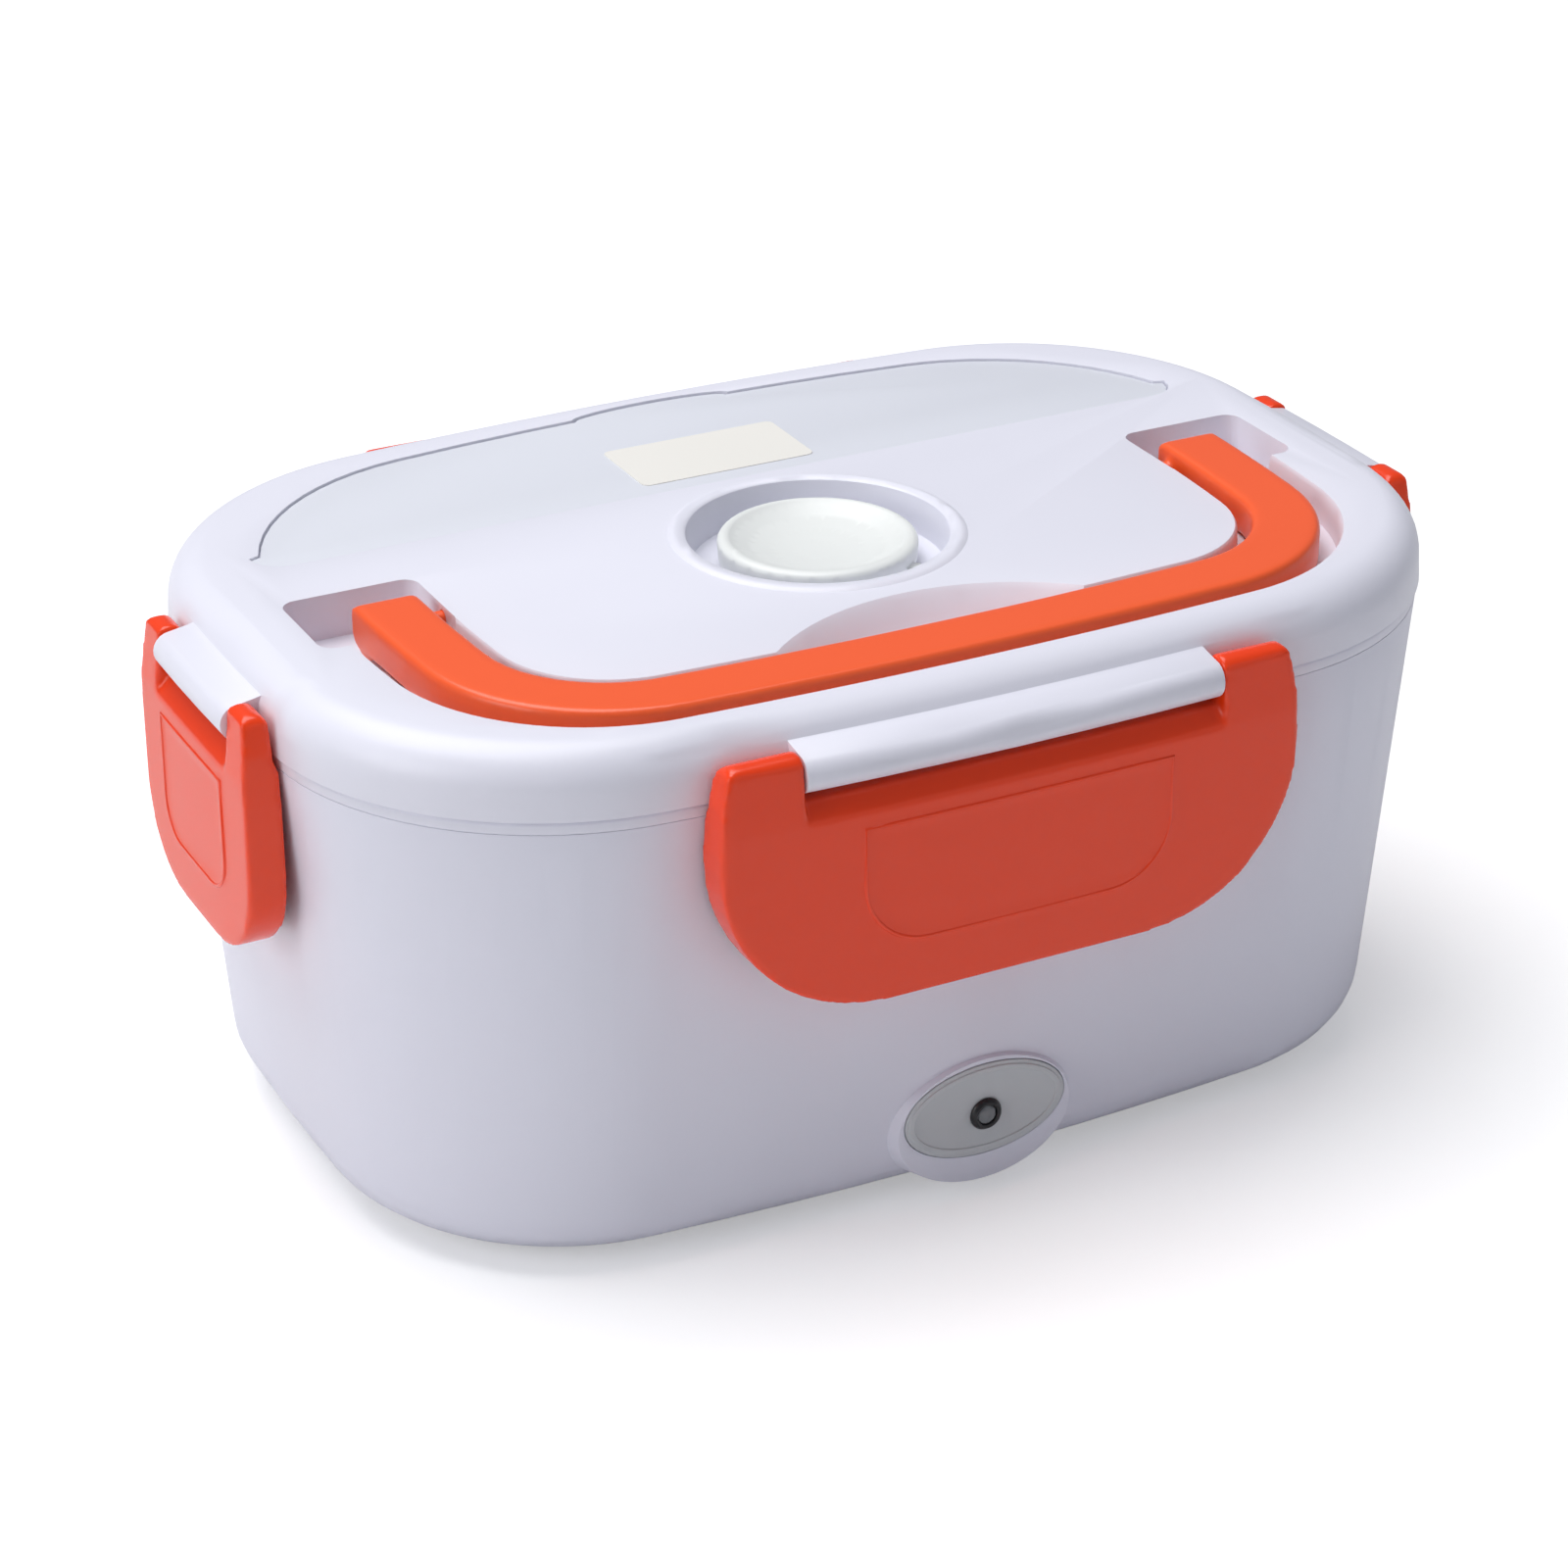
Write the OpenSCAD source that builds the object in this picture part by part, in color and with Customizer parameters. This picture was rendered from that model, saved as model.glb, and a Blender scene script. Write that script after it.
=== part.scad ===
// Electric lunch box: a heated tub with a lift-off lid, four latches and a carrying handle.
// Every size is in millimetres. X runs along the box, Y from front to rear, Z up from the table.

/* [Case] */
// Length of the case at the lid's lower edge
case_length = 226; // [198:1:272]
// Depth of the case at the lid's lower edge
case_depth = 152; // [134:1:184]
// Height from the table to the flat top of the lid
case_height = 106; // [92:1:128]
// Plan radius of the four corners
corner_radius = 54; // [44:1:60]
// Radius of the bow of the long sides
long_bow = 800; // [600:10:1200]
// Radius of the bow of the short sides
short_bow = 700; // [500:10:1200]

/* [Body] */
// Wall of the outer tub
body_wall = 2.4; // [2:0.1:3]
// How far the tub steps in below the lid
body_step = 0.5; // [0.3:0.1:0.8]
// How far the tub's wall leans in on its way down
body_draft = 6; // [4:0.5:8]
// Width of the rounding at the tub's lower edge
base_round_width = 11; // [8:0.5:13]
// Height of the rounding at the tub's lower edge
base_round_height = 10; // [8:0.5:12]
// Lip of the tub under the rounding, round the base opening
base_lip = 2.5; // [2:0.1:4]

/* [Base cover] */
// Height of the cover's edge that shows under the tub
cover_edge = 1.7; // [1.4:0.1:2.4]
// How far the rubber feet stand below the cover
foot_proud = 0.8; // [0.5:0.1:1.5]
// Radius of a rubber foot
foot_radius = 6; // [4:0.5:8]
// Radius of a base screw's shank
screw_radius = 1.5; // [1.2:0.1:2]
// Radius of a base screw's head
screw_head_radius = 3; // [2.5:0.1:3.5]

/* [Inner liner] */
// Height of the liner's flange, the band that shows under the lid
band_height = 2.3; // [2:0.1:3]
// Wall of the liner
liner_wall = 1.8; // [1.5:0.1:2.4]
// Height of the liner's floor above the table
liner_floor = 30; // [28:0.5:34]
// How far the liner's wall leans in on its way down
liner_draft = 5; // [4:0.5:7]

/* [Trays] */
// Wall of the food tray
tray_wall = 1.5; // [1.2:0.1:2]
// Gap between the food tray and the liner
tray_gap = 0.6; // [0.4:0.1:1]
// Length of the side tray
side_tray_length = 66; // [50:1:80]
// Depth of the side tray
side_tray_depth = 34; // [24:1:40]

/* [Heater] */
// Length of the heater plate
plate_length = 116; // [100:1:130]
// Depth of the heater plate
plate_depth = 66; // [56:1:70]
// Thickness of the heater plate's rim
plate_rim = 1.5; // [1.2:0.1:2]
// Height of the heating element
element_height = 6; // [5:0.5:8]

/* [Lid] */
// Height of the lid from its lower edge to its flat top
lid_height = 12.5; // [12.5:0.1:14]
// Wall of the lid
lid_wall = 2.4; // [2:0.1:2.6]
// Radius of the soft shoulder
shoulder_radius = 8; // [7:0.5:8]
// Gap between the lid's edge and the band below it
lid_gap = 0.2; // [0.1:0.05:0.4]
// Section width of the sealing ring
seal_width = 4; // [3.5:0.1:4.2]
// Section height of the sealing ring
seal_height = 2.8; // [2.6:0.1:3]

/* [Handle] */
// Distance from the case's end to the handle's outer face
handle_side_margin = 24.2; // [22:0.1:26]
// Distance from the case's front to the handle's outer face
handle_front_margin = 10; // [10:0.1:14]
// Width of the handle bar
handle_width = 12.4; // [10:0.1:14]
// Height of the handle bar
handle_height = 7.4; // [6.5:0.1:8]
// How far the handle stands above the lid
handle_proud = 1.4; // [0.8:0.1:2]
// Outer corner radius of the handle
handle_corner = 36; // [30:0.5:38]
// Place of the arms' square ends along the depth
arm_end = -0.8; // [-4:0.1:2]
// Distance from the arms' ends to the pivot
pivot_back = 4.7; // [4.2:0.1:5]
// Radius of the handle's pivot stubs
pivot_radius = 1.6; // [1.3:0.05:1.8]
// Gap between the handle and the groove at the sides
groove_side_gap = 4.4; // [2:0.1:4.6]
// Gap between the handle and the groove at the front
groove_front_gap = 1.2; // [0.8:0.1:1.6]
// Gap between the handle and the middle plateau
plateau_gap = 2; // [1.5:0.1:3]
// How far the end pockets run behind the arms
pocket_reach = 8.8; // [7.5:0.1:10]

/* [Vent] */
// Place of the vent along the depth
vent_y = -7; // [-8:0.5:-6]
// Radius of the well round the vent
well_radius = 24.4; // [22:0.1:26]
// Radius of the vent cap
cap_radius = 18.4; // [16:0.1:19]
// Radius of the vent cap's stem
stem_radius = 6; // [5:0.1:7]

/* [Cutlery compartment] */
// Place of the compartment's straight front edge
cutlery_front = 23; // [21:0.5:26]
// Distance from the case's rear to the cover
cutlery_margin = 11.7; // [11:0.1:13]
// Distance from the case's end to the cover
cutlery_side_margin = 15.5; // [13:0.5:20]
// Thickness of the clear cover
cutlery_cover_wall = 1.4; // [1.2:0.1:1.8]

/* [Latches] */
// Half the width of a long latch
long_latch_half = 56.5; // [50:0.5:60]
// Half the length of the lid's ledge at a long latch
long_ledge_half = 40.5; // [36:0.5:42]
// Half the width of a short latch
short_latch_half = 26.5; // [24:0.5:30]
// Half the length of the lid's ledge at a short latch
short_ledge_half = 17; // [14:0.5:18]
// Lower edge of the latches above the table
latch_bottom = 53; // [48:0.5:60]
// Wall of a latch
latch_wall = 2; // [1.6:0.1:2.4]
// How far the middle of a lid ledge stands out from the case
ledge_out = 3.1; // [3:0.1:3.4]
// Radius of a latch's pivot stubs
stub_radius = 1.2; // [1:0.05:1.3]

/* [Lamp] */
// Height of the lamp panel's middle
lamp_z = 18.4; // [17:0.1:22]
// Half the length of the lamp panel
lamp_half_length = 16.3; // [12:0.1:18]
// Half the height of the lamp panel
lamp_half_height = 9.2; // [7:0.1:9.5]
// Radius of the lamp's black ring
lamp_ring_radius = 3.15; // [2.8:0.05:4]

/* [Power inlet] */
// Height of the inlet's middle
inlet_z = 18.5; // [18:0.5:19.5]
// Length of the socket's opening
socket_length = 17; // [16:0.5:18]
// Height of the socket's opening
socket_height = 9; // [8.5:0.1:9.5]
// Depth of the socket
socket_depth = 12; // [11:0.5:13]
// Distance between the two pins
pin_pitch = 8.6; // [8:0.1:9]

/* [Hidden] */
far = 400;
arc_steps = 7;

// The case outline is a path: half length, half depth, long bow, short bow and corner radius.
case_path = [case_length / 2, case_depth / 2, long_bow, short_bow, corner_radius];
half_length = case_path[0];
half_depth = case_path[1];

// Heights, from the table up
z_cover = foot_proud;
z_tub = z_cover + cover_edge;
z_round = z_tub + base_round_height;
z_lid = case_height - lid_height;
z_band = z_lid - lid_gap;
z_rim = z_band - band_height;
z_shoulder = case_height - shoulder_radius;
lid_taper = 0.3;
shoulder_in = lid_taper + shoulder_radius;

// Insets from the case outline
tub_top_in = body_step;
tub_low_in = body_step + body_draft;
tub_base_in = tub_low_in + base_round_width;
opening_in = tub_base_in + base_lip;
cover_clear = 0.3;
cover_in = tub_base_in + 0.5;

// Inset of the tub's outer face at a height above its rounding
function tub_in(z) = body_step + body_draft * (z_rim - z) / (z_rim - z_round);

// Points of an elliptic arc
function arc(cx, cy, rx, ry, a0, a1, n = arc_steps) =
    [for (i = [0:n]) let (a = a0 + (a1 - a0) * i / n) [cx + rx * cos(a), cy + ry * sin(a)]];

// A path moved inwards all round
function inset(p, d) = [p[0] - d, p[1] - d, p[2] - d, p[3] - d, p[4] - d];

// Centre of a path's corner arc in the first quarter, tangent to both bowed sides
function corner_centre(p) =
    let (c1 = [0, p[1] - p[2]], c2 = [p[0] - p[3], 0], r1 = p[2] - p[4], r2 = p[3] - p[4],
        d = norm(c2 - c1), along = (r1 * r1 - r2 * r2 + d * d) / (2 * d),
        off = sqrt(r1 * r1 - along * along), u = (c2 - c1) / d)
    c1 + along * u + off * [u[1], -u[0]];

// Direction from a side arc's centre through the corner's centre
function long_way(p) = (corner_centre(p) - [0, p[1] - p[2]]) / (p[2] - p[4]);
function short_way(p) = (corner_centre(p) - [p[0] - p[3], 0]) / (p[3] - p[4]);

// Points round the whole path, for flat plates and cuts
function quarter(p, n) =
    let (k = corner_centre(p), a1 = atan2(short_way(p)[1], short_way(p)[0]),
        a2 = atan2(long_way(p)[1], long_way(p)[0]))
    concat(arc(p[0] - p[3], 0, p[3], p[3], 0, a1, 3), arc(k[0], k[1], p[4], p[4], a1, a2, n),
        arc(0, p[1] - p[2], p[2], p[2], a2, 90, 4));
function flip(points, sx, sy) = [for (q = points) [sx * q[0], sy * q[1]]];
function backwards(points) = [for (i = [len(points) - 1:-1:0]) points[i]];
function apart(q) = [for (i = [0:len(q) - 1]) if (norm(q[i] - q[(i + 1) % len(q)]) > 0.02) q[i]];
function outline(p, n = 14) = let (q = quarter(p, n))
    apart(concat(q, backwards(flip(q, -1, 1)), flip(q, -1, -1), backwards(flip(q, 1, -1))));

// A length to the micrometre; the corner arcs are placed by it and by the rest, so that they meet the sides
function whole(x) = round(x * 1000) / 1000;

// A profile of offset and height, carried round a path: two long sides, two short sides, four corners
module round_path(p) {
    k = corner_centre(p);
    k1 = k + 140 * long_way(p);
    k2 = k + 140 * short_way(p);
    tip = k1 + k2 - k;
    for (s = [-1, 1]) {
        intersection() {
            translate([0, s * (p[1] - p[2]), 0])
                rotate_extrude(angle = 36, start = s * 90 - 18, $fn = 480)
                    translate([p[2], 0]) children();
            sector([[k[0], s * k[1]], [k1[0], s * k1[1]], [-k1[0], s * k1[1]], [-k[0], s * k[1]]]);
        }
        intersection() {
            translate([s * (p[0] - p[3]), 0, 0])
                rotate_extrude(angle = 36, start = 72 - s * 90, $fn = 480)
                    translate([p[3], 0]) children();
            sector([[s * k[0], k[1]], [s * k2[0], k2[1]], [s * k2[0], -k2[1]], [s * k[0], -k[1]]]);
        }
        for (t = [-1, 1])
            intersection() {
                translate([s * whole(k[0]), t * whole(k[1]), 0])
                    translate([s * (k[0] - whole(k[0])), t * (k[1] - whole(k[1])), 0])
                        rotate_extrude($fn = 96) translate([p[4], 0]) children();
                sector([[s * k[0], t * k[1]], [s * k1[0], t * k1[1]],
                    [s * tip[0], t * tip[1]], [s * k2[0], t * k2[1]]]);
            }
    }
}
module sector(points) {
    translate([0, 0, -10]) linear_extrude(case_height + 40) polygon(points);
}

// A flat plate between two heights
module plate(z0, z1) {
    translate([0, 0, z0]) linear_extrude(z1 - z0) children();
}
module disc(p, d, z0, z1, n = 14) {
    plate(z0, z1) polygon(outline(inset(p, d), n));
}
// A cylinder along Y or X through a point
module bar_y(x, z, r, y0, y1) {
    translate([x, y0, z]) rotate([-90, 0, 0]) cylinder(r = r, h = y1 - y0, $fn = 48);
}
module bar_x(y, z, r, x0, x1) {
    translate([x0, y, z]) rotate([0, 90, 0]) cylinder(r = r, h = x1 - x0, $fn = 48);
}
module block(x0, x1, y0, y1, z0, z1) {
    translate([x0, y0, z0]) cube([x1 - x0, y1 - y0, z1 - z0]);
}
module four(x, y) {
    for (sx = [-1, 1])
        for (sy = [-1, 1])
            translate([sx * x, sy * y, 0]) children();
}

// Side frame: the front is drawn at negative Y; the other sides are the same drawing turned
module bow(h, r, half, z0, z1) {
    intersection() {
        translate([0, r - h, 0])
            rotate_extrude(angle = 24, start = 258, $fn = 480) translate([r, 0]) children();
        block(-half, half, -h - 20, -h + 20, z0, z1);
    }
}
function sag(x, r) = r - sqrt(r * r - x * x);
module at_front() { children(); }
module at_rear() { rotate([0, 0, 180]) children(); }
module at_left() { rotate([0, 0, -90]) children(); }
module at_right() { rotate([0, 0, 90]) children(); }

// Colours
white = [0.93, 0.93, 0.97];
orange = [0.95, 0.32, 0.12];
steel = [0.75, 0.76, 0.78];
grey = [0.72, 0.73, 0.76];
dark = [0.12, 0.12, 0.13];
frost = [0.85, 0.87, 0.95];
brass = [0.8, 0.65, 0.3];
green = [0.1, 0.35, 0.18];

// Catch between tub and latches
catch_z = z_rim - 9;
catch_height = 3.5;
catch_out = -0.35;
bead_gap = 0.2;
latch_back = catch_out + bead_gap;
catch_half_long = 25;
catch_half_short = 9;
module catch_rib(h, r, half) {
    bow(h, r, half, catch_z - 1, catch_z + catch_height + 1)
        polygon([[-tub_in(catch_z) - 1.2, catch_z + catch_height],
            [catch_out - 0.4, catch_z + catch_height], [catch_out, catch_z + catch_height - 0.6],
            [catch_out, catch_z + 0.3], [catch_out - 0.3, catch_z], [-tub_in(catch_z) - 1.2, catch_z]]);
}

// Lamp panel and its boss
lamp_face_y = -(half_depth - 4);
lamp_boss_y = lamp_face_y + 0.2;
lamp_panel_wall = 1.2;
lamp_recess_y = lamp_boss_y + lamp_panel_wall;
boss_rim = 1.3;
boss_drop = 2.2;
boss_wall = 2.2;
lamp_light_z = lamp_z - 0.9;
lamp_sleeve_radius = lamp_ring_radius - 0.6;
lens_radius = lamp_sleeve_radius - 0.6;
function oval(a, b, n = 48) = [for (i = [0:n - 1]) [a * cos(i * 360 / n), b * sin(i * 360 / n)]];
// An oval plate standing upright, from y0 back to y1
module upright(y0, y1, z, points) {
    translate([0, y1, z]) rotate([90, 0, 0]) linear_extrude(y1 - y0) polygon(points);
}
module lamp_boss() {
    hull() {
        upright(lamp_boss_y, lamp_boss_y + 0.4, lamp_z - boss_drop,
            oval(lamp_half_length + boss_rim, lamp_half_height + boss_rim - 0.3 + boss_drop));
        upright(lamp_boss_y + 8, lamp_boss_y + 9, lamp_z - boss_drop,
            oval(lamp_half_length + boss_rim + 4, lamp_half_height + boss_rim + 0.5 + boss_drop));
    }
}
module lamp_hollow() {
    upright(lamp_recess_y + boss_wall, lamp_boss_y + 20, lamp_z,
        oval(lamp_half_length - 1.5, lamp_half_height - 1.5));
    upright(lamp_boss_y - 1, lamp_recess_y, lamp_z,
        oval(lamp_half_length + 0.2, lamp_half_height + 0.2));
    translate([0, 0, lamp_light_z])
        bar_y(0, 0, lamp_sleeve_radius + 0.05, lamp_boss_y - 1, lamp_boss_y + 12);
}

// Power inlet: a flat pad on the tub's rear wall carries it
pad_y = half_depth - 5;
pad_half_length = socket_length / 2 + 7;
pad_half_height = socket_height / 2 + 5;
inlet_wall = 1.2;
inlet_flange = 1.4;
inlet_fit = 0.1;
function slot(a, b, n = 10) = let (c = a - b)
    concat(arc(c, 0, b, b, -90, 90, n), arc(-c, 0, b, b, 90, 270, n));
module rear_plate(y0, y1, a, b) {
    upright(y0, y1, inlet_z, slot(a, b));
}

module body_shell() {
    color(white) difference() {
        union() {
            round_path(case_path) polygon(concat([[-tub_top_in, z_rim]],
                arc(-tub_base_in, z_round, base_round_width, base_round_height, 0, -90),
                [[-opening_in, z_tub], [-opening_in, z_tub + body_wall]],
                arc(-tub_base_in, z_round, base_round_width - body_wall,
                    base_round_height - body_wall, -90, 0),
                [[-tub_top_in - body_wall, z_rim]]));
            at_front() catch_rib(half_depth, long_bow, catch_half_long);
            at_rear() catch_rib(half_depth, long_bow, catch_half_long);
            at_left() catch_rib(half_length, short_bow, catch_half_short);
            at_right() catch_rib(half_length, short_bow, catch_half_short);
            lamp_boss();
            rear_plate(pad_y - 5, pad_y, pad_half_length, pad_half_height);
        }
        lamp_hollow();
        rear_plate(pad_y - 20, pad_y + 1, socket_length / 2 + inlet_wall + inlet_fit,
            socket_height / 2 + inlet_wall + inlet_fit);
    }
}

// Screws, feet and posts
screw_x = half_length - 39;
screw_y = half_depth - 46;
foot_x = half_length - 57;
foot_y = half_depth - 34;
foot_sunk = 0.8;
post_radius = 4.2;
post_z = z_tub + 3.5;
screw_head_z = z_cover + 0.5;
screw_seat_z = screw_head_z + 1.8;
screw_tip_z = screw_seat_z + 12;
screw_fit = 0.05;

module base_cover() {
    color(grey) difference() {
        union() {
            disc(case_path, cover_in, z_cover, z_tub);
            difference() {
                disc(case_path, opening_in + cover_clear, z_tub, z_tub + 2.5);
                disc(case_path, opening_in + cover_clear + 2, z_tub, z_tub + 3);
            }
            four(screw_x, screw_y)
                translate([0, 0, z_tub])
                    cylinder(r = screw_head_radius + 2.6, h = post_z - z_tub, $fn = 48);
            for (x = [-30, 0, 30])
                block(x - 0.8, x + 0.8, -34, 34, z_tub, z_tub + 1.5);
        }
        four(screw_x, screw_y) {
            translate([0, 0, -1]) cylinder(r = screw_head_radius + 0.25, h = screw_seat_z + 1, $fn = 48);
            cylinder(r = screw_radius + 0.2, h = post_z + 1, $fn = 48);
        }
        four(foot_x, foot_y) cylinder(r = foot_radius + 0.05, h = z_cover + foot_sunk, $fn = 48);
        translate([0, 0, -1]) difference() {
            cylinder(r = 22.4, h = z_cover + 1.5, $fn = 96);
            cylinder(r = 21.8, h = z_cover + 1.5, $fn = 96);
        }
    }
}

module feet() {
    color(dark) four(foot_x, foot_y) rotate_extrude($fn = 48)
        polygon([[0, 0], [foot_radius - 1, 0], [foot_radius - 0.4, 0.25], [foot_radius, 0.7],
            [foot_radius, z_cover + foot_sunk], [0, z_cover + foot_sunk]]);
}

module base_screws() {
    color(steel) four(screw_x, screw_y) difference() {
        rotate_extrude($fn = 48)
            polygon([[0, screw_head_z], [screw_head_radius - 0.5, screw_head_z],
                [screw_head_radius, screw_head_z + 0.6], [screw_head_radius, screw_seat_z],
                [screw_radius, screw_seat_z], [screw_radius, screw_tip_z - 1.2], [0.4, screw_tip_z],
                [0, screw_tip_z]]);
        block(-1.8, 1.8, -0.3, 0.3, 0, screw_head_z + 0.9);
        block(-0.3, 0.3, -1.8, 1.8, 0, screw_head_z + 0.9);
    }
}

// Liner
flange_in = 9.6;
liner_in_top = flange_in - liner_wall;
liner_under = liner_floor - liner_wall;
liner_round = 7;
liner_low_in = liner_in_top + liner_draft;
function liner_face(z) = liner_in_top + liner_wall + liner_draft * (z_rim - z) / (z_rim - liner_under);
locate_in = tub_in(z_rim - 4) + body_wall + 0.15;
hole_half_x = plate_length / 2 - 4;
hole_half_y = plate_depth / 2 - 4;

module inner_liner() {
    color(white) difference() {
        union() {
            round_path(case_path) polygon(concat(
                [[-tub_top_in, z_rim], [-tub_top_in, z_band - 0.4], [-tub_top_in - 0.4, z_band],
                    [-flange_in, z_band]],
                arc(-liner_low_in - liner_round - liner_wall, liner_floor + liner_round,
                    liner_round, liner_round, 0, -90),
                [[-liner_low_in - liner_round - 8, liner_floor], [-liner_low_in - liner_round - 8,
                    liner_under]],
                arc(-liner_low_in - liner_round - liner_wall, liner_floor + liner_round,
                    liner_round + liner_wall, liner_round + liner_wall, -90, 0),
                [[-liner_in_top, z_rim], [-locate_in - 1.5, z_rim], [-locate_in - 1.5, z_rim - 4],
                    [-locate_in, z_rim - 4], [-locate_in, z_rim]]));
            disc(case_path, liner_low_in + liner_round + 4, liner_under, liner_floor);
        }
        block(-hole_half_x, hole_half_x, -hole_half_y, hole_half_y, liner_under - 1, liner_floor + 1);
    }
}

// Posts under the liner's floor take the base screws
module screw_posts() {
    color(white) four(screw_x, screw_y) difference() {
        translate([0, 0, post_z]) cylinder(r = post_radius, h = liner_under - post_z, $fn = 48);
        cylinder(r = screw_radius + screw_fit, h = screw_tip_z + 1, $fn = 48);
    }
}

// Heater
plate_top = liner_floor + plate_rim;
plate_under = liner_under - 0.4;
element_z = plate_under - element_height;
element_half_x = 26;
element_half_y = 17;
clamp_x = element_half_x + 9;
clamp_wall = 1;
heater_boss = 4;
clamp_screw_radius = 1.4;
function rounded(a, b, r, n = 6) = concat(
    arc(a - r, -b + r, r, r, -90, 0, n), arc(a - r, b - r, r, r, 0, 90, n),
    arc(-a + r, b - r, r, r, 90, 180, n), arc(-a + r, -b + r, r, r, 180, 270, n));

module heater_plate() {
    color(steel) difference() {
        union() {
            plate(liner_floor, plate_top) polygon(rounded(plate_length / 2, plate_depth / 2, 8));
            plate(plate_under, plate_top) polygon(rounded(hole_half_x - 0.5, hole_half_y - 0.5, 4));
            for (s = [-1, 1])
                translate([s * clamp_x, 0, element_z])
                    cylinder(r = heater_boss, h = plate_top - element_z - 0.5, $fn = 48);
        }
        for (s = [-1, 1])
            translate([s * clamp_x, 0, element_z - 1])
                cylinder(r = clamp_screw_radius + screw_fit, h = 7, $fn = 48);
    }
}

module ptc_heater() {
    color(brass) {
        block(-element_half_x, element_half_x, -element_half_y, element_half_y, element_z, plate_under);
        for (s = [-1, 1])
            block(-element_half_x - 8, -element_half_x + 1, s * 8 - 1.5, s * 8 + 1.5,
                element_z + 2.6, element_z + 3.4);
    }
}

module heater_clamp() {
    color(steel) difference() {
        union() {
            block(-clamp_x - 6, clamp_x + 6, -6, 6, element_z - clamp_wall, element_z);
            for (s = [-1, 1])
                block(-clamp_x + 8, clamp_x - 8, s * 5.5 - 0.5, s * 5.5 + 0.5, element_z - 2.4,
                    element_z);
        }
        for (s = [-1, 1])
            translate([s * clamp_x, 0, 0]) cylinder(r = clamp_screw_radius + 0.2, h = 60, $fn = 48);
    }
}

module clamp_screws() {
    color(steel) for (s = [-1, 1])
        translate([s * clamp_x, 0, element_z - clamp_wall]) difference() {
            rotate_extrude($fn = 48)
                polygon([[0, -2], [2.2, -2], [2.8, -1.2], [2.8, 0], [clamp_screw_radius, 0],
                    [clamp_screw_radius, 5], [0, 5.8]]);
            block(-2, 2, -0.35, 0.35, -3, -1.2);
        }
}

thermostat_x = 47;
module thermostat() {
    color(steel) {
        translate([thermostat_x - 2, -20, plate_under - 5]) cylinder(r = 6.5, h = 5, $fn = 48);
        translate([thermostat_x - 2, -20, plate_under - 8]) cylinder(r = 5.6, h = 3.5, $fn = 48);
        for (s = [-1, 1])
            block(thermostat_x - 2 + s * 3.4 - 0.4, thermostat_x - 2 + s * 3.4 + 0.4, -22, -18,
                plate_under - 13, plate_under - 7);
    }
}

module thermal_fuse() {
    color(brass) {
        block(-46, -40, -11, 11, plate_under - 1, plate_under);
        bar_y(-43, plate_under - 3, 2.1, -9, 9);
        bar_y(-43, plate_under - 3, 0.5, -16, 16);
    }
}

// Power inlet parts
socket_back_y = pad_y + inlet_flange - socket_depth;
inlet_back_y = socket_back_y - 2.4;
pin_radius = 1.2;
module power_inlet() {
    color(dark) difference() {
        union() {
            rear_plate(pad_y, pad_y + inlet_flange, socket_length / 2 + 4.5, socket_height / 2 + 3.6);
            rear_plate(inlet_back_y, pad_y + 0.5, socket_length / 2 + inlet_wall,
                socket_height / 2 + inlet_wall);
        }
        rear_plate(socket_back_y, pad_y + inlet_flange + 1, socket_length / 2, socket_height / 2);
        for (s = [-1, 1])
            bar_y(s * pin_pitch / 2, inlet_z, pin_radius + 0.03, inlet_back_y - 1, socket_back_y + 1);
    }
}

module inlet_pins() {
    color(brass) for (s = [-1, 1]) {
        bar_y(s * pin_pitch / 2, inlet_z, pin_radius, inlet_back_y - 2, pad_y - 1.5);
        block(s * pin_pitch / 2 - 2, s * pin_pitch / 2 + 2, inlet_back_y - 8, inlet_back_y - 1,
            inlet_z - 0.4, inlet_z + 0.4);
    }
}

// Lamp parts
module lamp_panel() {
    color(grey) difference() {
        union() {
            upright(lamp_face_y, lamp_recess_y, lamp_z, oval(lamp_half_length, lamp_half_height));
            upright(lamp_face_y - 0.3, lamp_face_y + 0.3, lamp_z,
                oval(lamp_half_length - 0.7, lamp_half_height - 0.7));
        }
        upright(lamp_face_y - 1, lamp_face_y, lamp_z,
            oval(lamp_half_length - 1.8, lamp_half_height - 1.8));
        bar_y(0, lamp_light_z, lamp_sleeve_radius + 0.05, lamp_face_y - 2, lamp_recess_y + 1);
    }
}

module lamp_bezel() {
    color(dark) translate([0, lamp_face_y, lamp_light_z]) rotate([90, 0, 0]) rotate_extrude($fn = 48)
        polygon([[lens_radius + 0.03, 0.9], [lens_radius + 0.5, 1.1], [lamp_ring_radius - 0.3, 0.8],
            [lamp_ring_radius, 0.3], [lamp_ring_radius, 0], [lamp_sleeve_radius, 0],
            [lamp_sleeve_radius, -6], [lens_radius + 0.03, -6]]);
}

module lamp_lens() {
    color([0.25, 0.05, 0.05]) translate([0, lamp_face_y, lamp_light_z]) rotate([90, 0, 0])
        rotate_extrude($fn = 48)
        polygon(concat([[0, -5], [lens_radius, -5], [lens_radius, 0.3]],
            arc(0, 0.3, lens_radius, 0.9, 15, 90, 5)));
}

board_y = lamp_face_y + 9;
module lamp_board() {
    color(green) {
        block(-9, 9, board_y, board_y + 1.2, lamp_light_z - 5, lamp_light_z + 5);
        bar_y(0, lamp_light_z, lens_radius - 0.05, lamp_face_y + 5.1, board_y + 0.5);
        for (s = [-1, 1])
            block(s * 7.5 - 1, s * 7.5 + 1, lamp_recess_y + boss_wall, board_y + 0.5,
                lamp_light_z - 2, lamp_light_z + 2);
    }
}

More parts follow.
